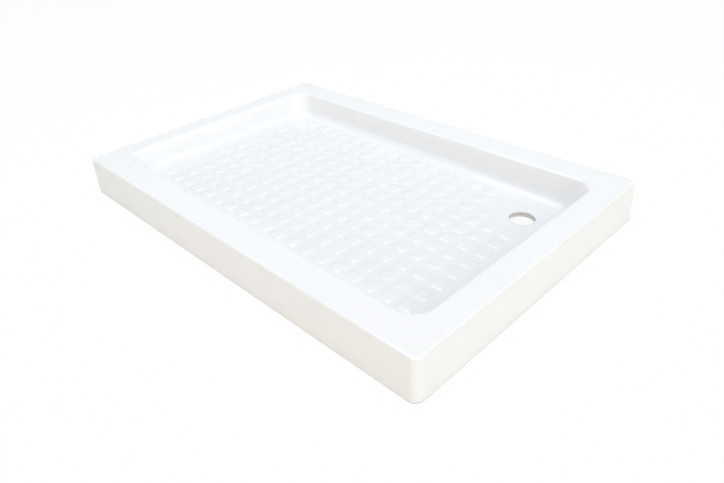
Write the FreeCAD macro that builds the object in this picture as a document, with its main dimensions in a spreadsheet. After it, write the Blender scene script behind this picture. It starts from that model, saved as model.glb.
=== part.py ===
"""Rectangular shower tray with its own skirt, studded floor and corner waste hole.

The tray is a thin moulded acrylic shell, stiffened from below by a glass-fibre
laminate, a board under the floor and four battens under the deck.  It stands on
its skirt and on nine screw feet: six under the deck and three under the floor.
Origin: centre of the foot outline, on the floor.  +X runs along the long side
towards the waste end, +Y across to the waste corner, +Z up.  Millimetres.
"""
import FreeCAD, Part
import math
import os
import Sketcher

V = FreeCAD.Vector
doc = FreeCAD.newDocument("shower_tray")

# ---------------------------------------------------------------- sizes
# Every driving dimension, once.  Lengths in mm, angles in degrees, falls in mm per mm.
SIZES = (
    ("tray_length", 1200, "foot of the skirt, along X"),
    ("tray_width", 800, "foot of the skirt, along Y"),
    ("tray_height", 100, "floor to deck"),
    ("skirt_draft", 2, "the skirt leans in by this much towards the deck"),
    ("plan_corner", 20, "vertical corner of the skirt, at its foot"),
    ("edge_radius", 6, "deck to skirt"),
    ("skin", 4.5, "acrylic wall"),
    ("deck_end", 64.5, "deck width at the short sides"),
    ("deck_side", 76.5, "deck width at the long sides"),
    ("opening_corner", 47, "plan corner of the basin at the deck"),
    ("rim_radius", 8, "deck to basin wall"),
    ("wall_run", 25, "how far the basin wall leans in on its way down"),
    ("floor_depth", 61, "deck to floor, at the middle"),
    ("fall_along", 0.010, "floor falls towards +X"),
    ("fall_across", 0.020, "floor falls towards +Y"),
    ("floor_corner", 55, "plan corner of the basin at the floor"),
    ("cove_radius", 30, "floor to basin wall"),
    ("stud_size", 33, "side of a raised square, at its foot"),
    ("stud_pitch", 49.5, "stud to stud, both ways"),
    ("stud_height", 2.5, "stud above the floor"),
    ("stud_corner", 7, "cut corner of a stud"),
    ("stud_slope", 3, "how far a stud's side leans in"),
    ("stud_root", 0.5, "how deep a stud is rooted in the floor"),
    ("waste_from_end", 106.5, "waste hole to the basin's end at the deck, along X"),
    ("waste_from_side", 133, "waste hole to the basin's side at the deck, along Y"),
    ("waste_bore", 60, "waste hole"),
    ("waste_lip", 2.5, "rounding of the hole's upper edge"),
    ("bond_line", 0.8, "resin between the acrylic and the laminate"),
    ("laminate", 3, "glass-fibre layer"),
    ("laminate_edge", 6, "laminate stops this far from the skirt"),
    ("ring_outer", 100, "doubler ring round the waste hole"),
    ("ring_thick", 6, "doubler ring"),
    ("board_thick", 12, "board under the floor"),
    ("board_margin", 8, "board edge to the start of the cove"),
    ("board_corner", 25, "plan corner of the board"),
    ("board_gap", 5, "board to the doubler ring"),
    ("notch_corner", 20, "inner corner of the board's notch round the waste"),
    ("batten_width", 38, "batten under the deck"),
    ("batten_thick", 15, "batten under the deck"),
    ("batten_corner", 1, "corner of a batten, in plan"),
    ("batten_joint", 0.3, "joint between two battens"),
    ("plate_length", 62, "leg plate, along X"),
    ("plate_width", 34, "leg plate, along Y"),
    ("plate_thick", 3, "leg plate"),
    ("plate_corner", 4, "corner of the leg plate"),
    ("boss_outer", 16, "threaded boss on the leg plate"),
    ("boss_height", 7, "threaded boss above the plate"),
    ("boss_gap", 0.5, "batten to the boss, all round"),
    ("rod", 10, "screw rod of a foot"),
    ("rod_chamfer", 1, "tip of the rod"),
    ("thread_gap", 0.3, "rod to the thread it runs in, all round"),
    ("nut_flats", 17, "lock nut across flats"),
    ("nut_height", 6, "lock nut"),
    ("collar_flats", 14, "hexagon on the rod, across flats"),
    ("collar_height", 4, "hexagon on the rod"),
    ("seat_gap", 0.3, "rod to the bottom of its socket, and collar to foot"),
    ("foot_size", 40, "foot"),
    ("foot_rim", 4, "straight rim of a foot"),
    ("foot_neck", 20, "top of a foot"),
    ("foot_step", 1, "step between a foot's rim and its neck"),
    ("rim_foot_height", 16, "foot of a rim leg"),
    ("floor_foot_height", 9, "foot of a floor leg"),
    ("socket_floor", 2.5, "foot under the socket"),
    ("rim_leg_up", 5, "a rim leg screws in by this much"),
    ("floor_leg_up", 2.5, "a floor leg screws in by this much"),
    ("rod_top_gap", 1, "rod to what is above it, fully screwed in"),
    ("corner_leg_inset", 12, "corner leg from the batten's end, past half a plate"),
    ("floor_leg_from_end", 232, "first floor leg to the basin's other end, along X"),
    ("floor_leg_from_waste", 175.5, "last floor leg to the waste hole, along X"),
    ("insert_outer", 16, "threaded insert in the board"),
    ("insert_inset", 0.5, "insert below the board's faces"),
    ("insert_gap", 0.1, "board to the insert, all round"),
    ("screw_shank", 4, "plate screw"),
    ("screw_gap", 0.2, "plate screw to its hole, all round"),
    ("screw_length", 13, "plate screw under its head"),
    ("screw_head", 8, "plate screw, where its head meets the plate"),
    ("screw_head_end", 6, "plate screw, outer end of its head"),
    ("screw_head_height", 2.4, "plate screw"),
    ("screw_spread", 46, "two screws of a plate"),
)
# How many studs are left out at the waste end of each row, from the far row on.
STUDS_LEFT_OUT = (3, 3, 2)

sheet = doc.addObject("Spreadsheet::Sheet", "sizes")
for row, (alias, number, note) in enumerate(SIZES, start=1):
    sheet.set("A%d" % row, alias)
    sheet.set("B%d" % row, str(number))
    sheet.set("C%d" % row, note)
    sheet.setAlias("B%d" % row, alias)
doc.recompute()

# Lengths that follow from the sheet, as expressions on it.
LEAN = "atan(sizes.wall_run / sizes.floor_depth)"
DRAFT_IN = "sizes.tray_height * tan(sizes.skirt_draft)"
OPENING_LENGTH = "(sizes.tray_length - 2 * (%s + sizes.deck_end))" % DRAFT_IN
OPENING_WIDTH = "(sizes.tray_width - 2 * (%s + sizes.deck_side))" % DRAFT_IN
WASTE_ALONG = "(%s / 2 - sizes.waste_from_end)" % OPENING_LENGTH
WASTE_ACROSS = "(%s / 2 - sizes.waste_from_side)" % OPENING_WIDTH
# From the basin's edge at the deck to where its floor becomes flat.
COVE_START = "(sizes.wall_run + sizes.cove_radius * tan(45 deg - %s / 2))" % LEAN
SLANT = "sqrt(1 + sizes.fall_along ^ 2 + sizes.fall_across ^ 2)"
FLOOR_HEIGHT = "(sizes.tray_height - sizes.floor_depth)"
UNDER_SKIN = "(sizes.skin + sizes.bond_line)"
UNDER_LAMINATE = "(sizes.skin + sizes.bond_line + sizes.laminate)"
UNDER_BOARD = "(sizes.skin + sizes.bond_line + sizes.laminate + sizes.board_thick)"
DECK_BELOW = "(sizes.tray_height - sizes.skin - sizes.bond_line - sizes.laminate)"


def value(expression):
    """The number that an expression on the sheet works out to."""
    result = sheet.evalExpression(expression)
    return float(getattr(result, "Value", result))


def bind(thing, **expressions):
    """Tie properties to expressions; two underscores stand for a dot in a property's path."""
    for path, expression in expressions.items():
        thing.setExpression(path.replace("__", "."), expression)


def floor_level(x, y, depth):
    """Height of the plane that lies depth below the sloped floor, over the point x, y."""
    fall = value("sizes.fall_along") * x + value("sizes.fall_across") * y
    return value(FLOOR_HEIGHT) - fall - depth * value(SLANT)


# ---------------------------------------------------------------- sketches
def new_sketch(body, name):
    """A sketch on the body's own horizontal origin plane."""
    sketch = body.newObject("Sketcher::SketchObject", name)
    plane = [item for item in body.Origin.OriginFeatures if item.Role == "XY_Plane"][0]
    sketch.AttachmentSupport = [(plane, "")]
    sketch.MapMode = "FlatFace"
    return sketch


def lift(sketch, height):
    """Raise a level sketch to a height."""
    bind(sketch, AttachmentOffset__Base__z=height)


def lay_on_floor(sketch, depth):
    """Lay a sketch parallel to the sloped floor, depth below it, square to the floor."""
    along, across = "sizes.fall_along", "sizes.fall_across"
    tilt = math.degrees(math.atan(math.hypot(value(along), value(across))))
    axis = V(-value(across), value(along), 0) if tilt else V(0, 0, 1)
    sketch.AttachmentOffset = FreeCAD.Placement(V(), FreeCAD.Rotation(axis, tilt))
    bind(sketch,
         AttachmentOffset__Base__x="-%s * %s / %s" % (depth, along, SLANT),
         AttachmentOffset__Base__y="-%s * %s / %s" % (depth, across, SLANT),
         AttachmentOffset__Base__z="%s - %s / %s" % (FLOOR_HEIGHT, depth, SLANT))


def rounded_rectangle(sketch, length, width, corner):
    """A centred rectangle with four equal rounded corners, sizes as expressions."""
    a, b, r = value(length) / 2, value(width) / 2, value(corner)
    quarter = math.pi / 2
    corners = ((a - r, r - b, -1), (a - r, b - r, 0), (r - a, b - r, 1), (r - a, r - b, 2))
    sides = (((r - a, -b), (a - r, -b)), ((a, r - b), (a, b - r)),
             ((a - r, b), (r - a, b)), ((-a, b - r), (-a, r - b)))
    shapes = []
    for (start, end), (x, y, turn) in zip(sides, corners):
        shapes.append(Part.LineSegment(V(*start, 0), V(*end, 0)))
        circle = Part.Circle(V(x, y, 0), V(0, 0, 1), r)
        shapes.append(Part.ArcOfCircle(circle, turn * quarter, (turn + 1) * quarter))
    sketch.addGeometry(shapes)
    rule = Sketcher.Constraint
    rules = [rule("Tangent", i, 2, (i + 1) % 8, 1) for i in range(8)]
    rules += [rule("Horizontal", 0), rule("Horizontal", 4), rule("Vertical", 2), rule("Vertical", 6)]
    rules += [rule("Equal", 1, i) for i in (3, 5, 7)]
    rules.append(rule("Symmetric", 0, 1, 4, 1, -1, 1))
    sketch.addConstraint(rules)
    for name, limit, size in (("length", rule("DistanceX", 6, 1, 2, 2, 2 * a), length),
                              ("width", rule("DistanceY", 0, 1, 4, 2, 2 * b), width),
                              ("corner", rule("Radius", 1, r), corner)):
        sketch.renameConstraint(sketch.addConstraint(limit), name)
        sketch.setExpression("Constraints." + name, size)


def circle(sketch, x, y, diameter, name):
    """A circle at x, y, with all three sizes as expressions."""
    at = V(value(x), value(y), 0)
    shape = sketch.addGeometry(Part.Circle(at, V(0, 0, 1), value(diameter) / 2))
    rule = Sketcher.Constraint
    for part, limit, size in (("x", rule("DistanceX", -1, 1, shape, 3, at.x), x),
                              ("y", rule("DistanceY", -1, 1, shape, 3, at.y), y),
                              ("size", rule("Diameter", shape, value(diameter)), diameter)):
        label = "%s_%s" % (name, part)
        sketch.renameConstraint(sketch.addConstraint(limit), label)
        sketch.setExpression("Constraints." + label, size)


def rectangle(sketch, x, y, x_end, y_end):
    """A rectangle between two corners, all four sizes as expressions."""
    a, b, c, d = (value(size) for size in (x, y, x_end, y_end))
    points = [V(a, b, 0), V(c, b, 0), V(c, d, 0), V(a, d, 0)]
    sketch.addGeometry([Part.LineSegment(points[i], points[(i + 1) % 4]) for i in range(4)])
    rule = Sketcher.Constraint
    sketch.addConstraint([rule("Coincident", i, 2, (i + 1) % 4, 1) for i in range(4)]
                         + [rule("Horizontal", 0), rule("Vertical", 1), rule("Horizontal", 2), rule("Vertical", 3)])
    for name, limit, size in (("x", rule("DistanceX", -1, 1, 0, 1, a), x), ("y", rule("DistanceY", -1, 1, 0, 1, b), y),
                              ("x_end", rule("DistanceX", -1, 1, 2, 1, c), x_end),
                              ("y_end", rule("DistanceY", -1, 1, 2, 1, d), y_end)):
        sketch.renameConstraint(sketch.addConstraint(limit), name)
        sketch.setExpression("Constraints." + name, size)


# ---------------------------------------------------------------- features
def new_body(label):
    body = doc.addObject("PartDesign::Body", label)
    body.Label = label
    return body


def pad(body, name, sketch, length, draft=None, down=False):
    feature = body.newObject("PartDesign::Pad", name)
    feature.Profile = sketch
    feature.Reversed = down
    bind(feature, Length=length)
    if draft:
        bind(feature, TaperAngle=draft)
    doc.recompute()
    return feature


def cut(body, name, sketch, length=None, draft=None, up=False):
    """A pocket, through everything where it has no length; it must take material away."""
    before = body.Tip.Shape.Volume
    feature = body.newObject("PartDesign::Pocket", name)
    feature.Profile = sketch
    feature.Reversed = up
    if length:
        bind(feature, Length=length)
    else:
        feature.Type = "ThroughAll"
        feature.Midplane = True
    if draft:
        bind(feature, TaperAngle=draft)
    doc.recompute()
    if feature.Shape.Volume >= before:
        raise ValueError("%s cuts nothing" % name)
    return feature


def basin_form(body, name, kind, grow, top):
    """The basin's hollow, or the same form grown outwards by an even wall.

    A loft from a level rounded rectangle at the height top to a rounded rectangle
    on the sloped floor.  Grown by g, the leaning walls move out by g over the
    cosine of their lean, and the floor moves down by g.
    """
    out = "2 * (%s / cos(%s) - (sizes.tray_height - %s) * tan(%s))" % (grow, LEAN, top, LEAN)
    upper = new_sketch(body, name + "_top")
    lift(upper, top)
    rounded_rectangle(upper, "%s + %s" % (OPENING_LENGTH, out), "%s + %s" % (OPENING_WIDTH, out),
                      "sizes.opening_corner + %s / 2" % out)
    out = "2 * (%s / cos(%s) - %s * tan(%s) - sizes.wall_run)" % (grow, LEAN, grow, LEAN)
    lower = new_sketch(body, name + "_floor")
    lay_on_floor(lower, grow)
    rounded_rectangle(lower, "%s + %s" % (OPENING_LENGTH, out), "%s + %s" % (OPENING_WIDTH, out),
                      "sizes.floor_corner + %s / cos(%s) - %s * tan(%s)" % (grow, LEAN, grow, LEAN))
    loft = body.newObject("PartDesign::" + kind, name)
    loft.Profile = upper
    loft.Sections = [lower]
    loft.Ruled = True
    doc.recompute()
    return loft


def round_edges(body, name, base, radius, chosen):
    """Fillet the edges of the base feature that the test chosen picks."""
    edges = ["Edge%d" % number for number, edge in enumerate(base.Shape.Edges, start=1) if chosen(edge)]
    feature = body.newObject("PartDesign::Fillet", name)
    feature.Base = (base, edges)
    bind(feature, Radius=radius)
    doc.recompute()
    return feature


def on_floor(depth):
    """Test for an edge that lies in the plane depth below the sloped floor."""
    def chosen(edge):
        middle = edge.valueAt((edge.FirstParameter + edge.LastParameter) / 2)
        points = [vertex.Point for vertex in edge.Vertexes] + [middle]
        return all(abs(point.z - floor_level(point.x, point.y, depth)) < 1e-3 for point in points)
    return chosen


def near_point(x, y, reach):
    """Test for an edge whose middle lies within reach of the point x, y in plan."""
    def chosen(edge):
        centre = edge.BoundBox.Center
        return math.hypot(centre.x - value(x), centre.y - value(y)) < reach
    return chosen


def on_deck(inner):
    """Test for an edge in the deck's top plane: the basin's rim if inner, else the outside edge."""
    top = value("sizes.tray_height")
    limit = V(value(OPENING_LENGTH), value(OPENING_WIDTH), 0) * 0.5 + V(1, 1, 0)

    def chosen(edge):
        box = edge.BoundBox
        if box.ZMin < top - 1e-4 or box.ZMax > top + 1e-4:
            return False
        within = max(abs(box.XMin), abs(box.XMax)) < limit.x and max(abs(box.YMin), abs(box.YMax)) < limit.y
        return within == inner
    return chosen


def waste_hole(body, depth, diameter):
    """Drill the waste hole square to the sloped floor."""
    sketch = new_sketch(body, "waste_hole_outline")
    lay_on_floor(sketch, depth)
    circle(sketch, WASTE_ALONG, WASTE_ACROSS, diameter, "hole")
    return cut(body, "waste_hole", sketch)


# ---------------------------------------------------------------- tray shell
# Vacuum-formed acrylic: skirt, deck and basin in one skin of even thickness.
shell = new_body("shell_form")
outline = new_sketch(shell, "foot_outline")
rounded_rectangle(outline, "sizes.tray_length", "sizes.tray_width", "sizes.plan_corner")
pad(shell, "skirt_block", outline, "sizes.tray_height", draft="-sizes.skirt_draft")

outline = new_sketch(shell, "inside_outline")
rounded_rectangle(outline, "sizes.tray_length - 2 * sizes.skin", "sizes.tray_width - 2 * sizes.skin",
                  "sizes.plan_corner - sizes.skin")
cut(shell, "underside", outline, "sizes.tray_height - sizes.skin", draft="-sizes.skirt_draft", up=True)

basin_form(shell, "basin_back", "AdditiveLoft", "sizes.skin", "(sizes.tray_height - sizes.skin / 2)")
basin = basin_form(shell, "basin", "SubtractiveLoft", "0", "sizes.tray_height")
cove = round_edges(shell, "cove", basin, "sizes.cove_radius", on_floor(0))
cove = round_edges(shell, "cove_back", cove, "sizes.cove_radius + sizes.skin", on_floor(value("sizes.skin")))
rim = round_edges(shell, "rim", cove, "sizes.rim_radius", on_deck(inner=True))
round_edges(shell, "outside_edge", rim, "sizes.edge_radius", on_deck(inner=False))
hole = waste_hole(shell, "0", "sizes.waste_bore")
at_hole, upper = near_point(WASTE_ALONG, WASTE_ACROSS, value("sizes.waste_bore") / 4), on_floor(0)
round_edges(shell, "waste_lip", hole, "sizes.waste_lip", lambda edge: at_hole(edge) and upper(edge))


def stud_outline(side, height):
    """A square with cut corners, as a closed wire at a height."""
    a = side / 2
    c = a - value("sizes.stud_corner")
    ring = [V(x, y, height) for x, y in
            ((-c, -a), (c, -a), (a, -c), (a, c), (c, a), (-c, a), (-a, c), (-a, -c), (-c, -a))]
    return Part.makePolygon(ring)


def stud_field():
    """All raised squares: one frustum, set out in columns and rows on the sloped floor.

    As many columns and rows as the flat of the floor holds on each side of the middle.
    """
    size, slope = value("sizes.stud_size"), value("sizes.stud_slope")
    foot = stud_outline(size, -value("sizes.stud_root"))
    head = stud_outline(size - 2 * slope, value("sizes.stud_height"))
    stud = Part.makeLoft([foot, head], True, True)
    pitch = value("sizes.stud_pitch")
    columns, rows = (int((value("%s / 2 - %s" % (opening, COVE_START)) - size / 2) / pitch)
                     for opening in (OPENING_LENGTH, OPENING_WIDTH))
    left_out = {rows - count: studs for count, studs in enumerate(STUDS_LEFT_OUT)}
    studs = []
    for across in range(-rows, rows + 1):
        for along in range(-columns, columns + 1 - left_out.get(across, 0)):
            copy = stud.copy()
            copy.translate(V(along * pitch, across * pitch, 0))
            studs.append(copy)
    return Part.makeCompound(studs)


studs = doc.addObject("Part::Feature", "stud_field")
studs.Shape = stud_field()
studs.Placement = hole.Profile[0].AttachmentOffset

tray_shell = doc.addObject("Part::MultiFuse", "tray_shell")
tray_shell.Label = "tray_shell"
tray_shell.Shapes = [shell, studs]
tray_shell.Refine = False

# ---------------------------------------------------------------- laminate
# Glass-fibre and resin sprayed on the back of the deck, the basin walls and the floor.
backing = new_body("laminate_backing")
outline = new_sketch(backing, "deck_outline")
lift(outline, DECK_BELOW)
SLAB_IN = "2 * (%s + sizes.skin + sizes.laminate_edge)" % DRAFT_IN
rounded_rectangle(outline, "sizes.tray_length - " + SLAB_IN, "sizes.tray_width - " + SLAB_IN,
                  "sizes.plan_corner")
pad(backing, "deck_layer", outline, "sizes.laminate")
basin_form(backing, "basin_layer", "AdditiveLoft", UNDER_LAMINATE, "(%s + sizes.laminate / 2)" % DECK_BELOW)
inside = basin_form(backing, "basin_inside", "SubtractiveLoft", UNDER_SKIN, "sizes.tray_height")
cove = round_edges(backing, "cove", inside, "sizes.cove_radius + " + UNDER_SKIN, on_floor(value(UNDER_SKIN)))
round_edges(backing, "cove_back", cove, "sizes.cove_radius + " + UNDER_LAMINATE,
            on_floor(value(UNDER_LAMINATE)))
waste_hole(backing, UNDER_SKIN, "sizes.waste_bore")

# ---------------------------------------------------------------- board and doubler ring
# A flat board bonded to the laminate carries the load on the floor.  Its corner is cut
# away round the waste, where a ring doubles the wall that the waste clamps.
board = new_body("baseboard")
outline = new_sketch(board, "board_outline")
lay_on_floor(outline, UNDER_LAMINATE)
BOARD_IN = " - 2 * (%s + sizes.board_margin)" % COVE_START
rounded_rectangle(outline, OPENING_LENGTH + BOARD_IN, OPENING_WIDTH + BOARD_IN, "sizes.board_corner")
pad(board, "board_slab", outline, "sizes.board_thick", down=True)
outline = new_sketch(board, "notch_outline")
NOTCH = ["%s - sizes.ring_outer / 2 - sizes.board_gap" % middle for middle in (WASTE_ALONG, WASTE_ACROSS)]
rectangle(outline, *NOTCH, OPENING_LENGTH + " / 2", OPENING_WIDTH + " / 2")
notch = cut(board, "notch", outline)
round_edges(board, "notch_rounding", notch, "sizes.notch_corner", near_point(*NOTCH, 1))
LEFT_LEG, RIGHT_LEG = "(sizes.floor_leg_from_end - %s / 2)" % OPENING_LENGTH, \
    "(%s - sizes.floor_leg_from_waste)" % WASTE_ALONG
FLOOR_LEGS = {"left": LEFT_LEG, "mid": "(%s + %s) / 2" % (LEFT_LEG, RIGHT_LEG), "right": RIGHT_LEG}
outline = new_sketch(board, "insert_holes_outline")
for end, along in FLOOR_LEGS.items():
    circle(outline, along, "0", "sizes.insert_outer + 2 * sizes.insert_gap", "insert_" + end)
cut(board, "insert_holes", outline)

ring = new_body("waste_ring")
outline = new_sketch(ring, "ring_outline")
lay_on_floor(outline, UNDER_LAMINATE)
for diameter, name in (("sizes.ring_outer", "outside"), ("sizes.waste_bore", "bore")):
    circle(outline, WASTE_ALONG, WASTE_ACROSS, diameter, name)
pad(ring, "ring_slab", outline, "sizes.ring_thick", down=True)

# ---------------------------------------------------------------- battens
# Softwood strips glassed under the deck, half way between the basin and the skirt.
# The long ones run through, and the short ones butt between them.
BASIN_OUT = "(%s / cos(%s) - (sizes.tray_height - %s) * tan(%s))" % (UNDER_LAMINATE, LEAN, DECK_BELOW, LEAN)
SKIRT_IN = "(sizes.skin + %s * tan(sizes.skirt_draft))" % DECK_BELOW
MID_X = "((%s + sizes.tray_length) / 2 + %s - %s) / 2" % (OPENING_LENGTH, BASIN_OUT, SKIRT_IN)
MID_Y = "((%s + sizes.tray_width) / 2 + %s - %s) / 2" % (OPENING_WIDTH, BASIN_OUT, SKIRT_IN)
BATTEN_BELOW = "(%s - sizes.batten_thick)" % DECK_BELOW
CORNER_X = ("(%s + sizes.batten_width / 2 - sizes.corner_leg_inset - sizes.plate_length / 2)" % MID_X)
screw_spots = ["-sizes.screw_spread / 2", "sizes.screw_spread / 2"]


def batten(label, length, width, leg_places):
    """A strip with a clearance hole for each leg's boss and pilot holes for its two screws."""
    body = new_body(label)
    outline = new_sketch(body, label + "_outline")
    rounded_rectangle(outline, length, width, "sizes.batten_corner")
    pad(body, label + "_strip", outline, "sizes.batten_thick")
    if leg_places:
        holes = new_sketch(body, label + "_holes_outline")
        for number, along in enumerate(leg_places):
            circle(holes, along, "0", "sizes.boss_outer + 2 * sizes.boss_gap", "boss_%d" % number)
            for side, spot in enumerate(screw_spots):
                circle(holes, "%s + %s" % (along, spot), "0", "sizes.screw_shank + 2 * sizes.screw_gap",
                       "screw_%d_%d" % (number, side))
        cut(body, label + "_holes", holes)
    bind(body, Placement__Base__z=BATTEN_BELOW)
    return body


LEG_PLACES = {"left": "-" + CORNER_X, "mid": "0", "right": CORNER_X}
LONG = "2 * %s + sizes.batten_width" % MID_X
SHORT = "2 * (%s - sizes.batten_width / 2 - sizes.batten_joint)" % MID_Y
SIDES = {"near": "-" + MID_Y, "far": MID_Y}
for side, across in SIDES.items():
    strip = batten("batten_" + side, LONG, "sizes.batten_width", list(LEG_PLACES.values()))
    bind(strip, Placement__Base__y=across)
for side, sign in (("left", "-"), ("right", "")):
    strip = batten("batten_" + side, "sizes.batten_width", SHORT, [])
    bind(strip, Placement__Base__x=sign + MID_X)


# ---------------------------------------------------------------- screw feet
def solid(kind, name, **expressions):
    """A Part primitive with its sizes bound to the sheet."""
    feature = doc.addObject("Part::" + kind, name)
    bind(feature, **expressions)
    return feature


def joined(kind, name, pieces):
    """A boolean or compound of earlier features."""
    feature = doc.addObject("Part::" + kind, name)
    if kind == "Cut":
        feature.Base, feature.Tool = pieces
    elif kind == "Compound":
        feature.Links = pieces
    else:
        feature.Shapes = pieces
    return feature


def place(thing, x, y, z):
    bind(thing, Placement__Base__x=x, Placement__Base__y=y, Placement__Base__z=z)


def hexagon(name, flats, height, z):
    """A hexagonal prism from its size across the flats."""
    prism = solid("Prism", name, Circumradius="%s / 2 / cos(30)" % flats, Height=height)
    prism.Polygon = 6
    bind(prism, Placement__Base__z=z)
    return prism


def foot(label, height):
    """A moulded foot: a round pad with a tapered neck and a blind socket for the rod."""
    base = solid("Cylinder", label + "_base", Radius="sizes.foot_size / 2", Height="sizes.foot_rim")
    neck = solid("Cone", label + "_neck", Radius1="sizes.foot_size / 2 - sizes.foot_step",
                 Radius2="sizes.foot_neck / 2", Height="%s - sizes.foot_rim" % height)
    bind(neck, Placement__Base__z="sizes.foot_rim")
    socket = solid("Cylinder", label + "_socket", Radius="sizes.rod / 2 + sizes.thread_gap", Height=height)
    bind(socket, Placement__Base__z="sizes.socket_floor")
    body = joined("Cut", label, (joined("MultiFuse", label + "_outside", [base, neck]), socket))
    body.Label = label
    return body


def rod(label, foot_height, top):
    """A screw rod from the foot's socket up to top, with a hexagon to turn it by."""
    low = "(sizes.socket_floor + sizes.seat_gap)"
    shank = solid("Cylinder", label + "_shank", Radius="sizes.rod / 2",
                  Height="%s - %s - sizes.rod_chamfer" % (top, low))
    bind(shank, Placement__Base__z=low)
    tip = solid("Cone", label + "_tip", Radius1="sizes.rod / 2",
                Radius2="sizes.rod / 2 - sizes.rod_chamfer", Height="sizes.rod_chamfer")
    bind(tip, Placement__Base__z="%s - sizes.rod_chamfer" % top)
    collar = hexagon(label + "_collar", "sizes.collar_flats", "sizes.collar_height",
                     "%s + sizes.seat_gap" % foot_height)
    body = joined("MultiFuse", label, [shank, tip, collar])
    body.Label = label
    return body


# Six legs under the deck.  Each has a plate with a threaded boss, screwed up
# against the batten, and a lock nut below the plate.
def leg_plate(label):
    body = new_body(label)
    outline = new_sketch(body, label + "_outline")
    rounded_rectangle(outline, "sizes.plate_length", "sizes.plate_width", "sizes.plate_corner")
    for side, spot in enumerate(screw_spots):
        circle(outline, spot, "0", "sizes.screw_shank + 2 * sizes.screw_gap", "screw_%d" % side)
    pad(body, label + "_sheet", outline, "sizes.plate_thick")
    outline = new_sketch(body, label + "_boss_outline")
    circle(outline, "0", "0", "sizes.boss_outer", "boss")
    pad(body, label + "_boss", outline, "sizes.plate_thick + sizes.boss_height")
    outline = new_sketch(body, label + "_thread_outline")
    circle(outline, "0", "0", "sizes.rod + 2 * sizes.thread_gap", "thread")
    cut(body, label + "_thread", outline)
    return body


PLATE_BELOW = "(%s - sizes.plate_thick)" % BATTEN_BELOW
RIM_ROD_TOP = "(%s - sizes.rim_leg_up - sizes.rod_top_gap)" % DECK_BELOW
NUT_BELOW = "(%s - sizes.nut_height)" % PLATE_BELOW
HEAD_BELOW = "(%s - sizes.screw_head_height)" % PLATE_BELOW
nodes = ["tray_shell", "laminate_backing", "baseboard", "waste_ring",
         "batten_near", "batten_far", "batten_left", "batten_right"]
lock_nuts, screws = [], []
for side, across in SIDES.items():
    for end, along in LEG_PLACES.items():
        spot = "%s_%s" % (side, end)
        plate = leg_plate("leg_plate_" + spot)
        place(plate, along, across, PLATE_BELOW)
        stud = rod("leg_stud_" + spot, "sizes.rim_foot_height", RIM_ROD_TOP)
        place(stud, along, across, "0")
        pad_foot = foot("leg_pad_" + spot, "sizes.rim_foot_height")
        place(pad_foot, along, across, "0")
        nodes += [plate.Label, stud.Label, pad_foot.Label]

        body = hexagon("lock_nut_body_" + spot, "sizes.nut_flats", "sizes.nut_height", "0")
        thread = solid("Cylinder", "lock_nut_thread_" + spot,
                       Radius="sizes.rod / 2 + sizes.thread_gap", Height="sizes.nut_height")
        nut = joined("Cut", "lock_nut_" + spot, (body, thread))
        place(nut, along, across, NUT_BELOW)
        lock_nuts.append(nut)

        for number, offset in enumerate(screw_spots):
            name = "screw_%s_%d" % (spot, number)
            head = solid("Cone", name + "_head", Radius1="sizes.screw_head_end / 2",
                         Radius2="sizes.screw_head / 2", Height="sizes.screw_head_height")
            shank = solid("Cylinder", name + "_shank", Radius="sizes.screw_shank / 2",
                          Height="sizes.screw_length + sizes.screw_head_height")
            screw = joined("MultiFuse", name, [head, shank])
            place(screw, "%s + %s" % (along, offset), across, HEAD_BELOW)
            screws.append(screw)

# Three legs under the floor run in threaded inserts let into the board.
inserts = []
for end, along in FLOOR_LEGS.items():
    x = value(along)
    under = floor_level(x, 0, value(UNDER_BOARD))
    over = floor_level(x, 0, value(UNDER_LAMINATE))
    stud = rod("leg_stud_floor_" + end, "sizes.floor_foot_height",
               "(%r - sizes.floor_leg_up - sizes.rod_top_gap)" % over)
    place(stud, along, "0", "0")
    pad_foot = foot("leg_pad_floor_" + end, "sizes.floor_foot_height")
    place(pad_foot, along, "0", "0")
    nodes += [stud.Label, pad_foot.Label]
    height = "%r - 2 * sizes.insert_inset" % (over - under)
    body = solid("Cylinder", "insert_body_" + end, Radius="sizes.insert_outer / 2", Height=height)
    thread = solid("Cylinder", "insert_thread_" + end, Radius="sizes.rod / 2 + sizes.thread_gap", Height=height)
    insert = joined("Cut", "insert_" + end, (body, thread))
    place(insert, along, "0", "%r + sizes.insert_inset" % under)
    inserts.append(insert)

for label, pieces in (("leg_lock_nuts", lock_nuts), ("plate_screws", screws), ("floor_inserts", inserts)):
    group = joined("Compound", label, pieces)
    group.Label = label
    nodes.append(label)
doc.recompute()

# ---------------------------------------------------------------- checks and files
for thing in doc.Objects:
    if {"Invalid", "Error"} & set(thing.State):
        raise ValueError("%s failed: %s" % (thing.Name, thing.State))
os.makedirs("parts", exist_ok=True)
for node in nodes:
    shape = doc.getObjectsByLabel(node)[0].Shape
    if shape.isNull() or not shape.isValid():
        raise ValueError("%s has no valid shape" % node)
    print("%-26s %3d solids %12.1f mm3" % (node, len(shape.Solids), shape.Volume))
    shape.exportStep(os.path.join("parts", node + ".step"))
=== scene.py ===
"""A white acrylic shower tray with a studded floor, a corner waste hole and levelling feet.

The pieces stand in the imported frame, in metres: +X along the long side towards the
waste, +Y across, +Z up, with the origin on the floor under the tray's middle.
"""
import math

import bpy
import numpy as np
from mathutils import Matrix, Vector


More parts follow.
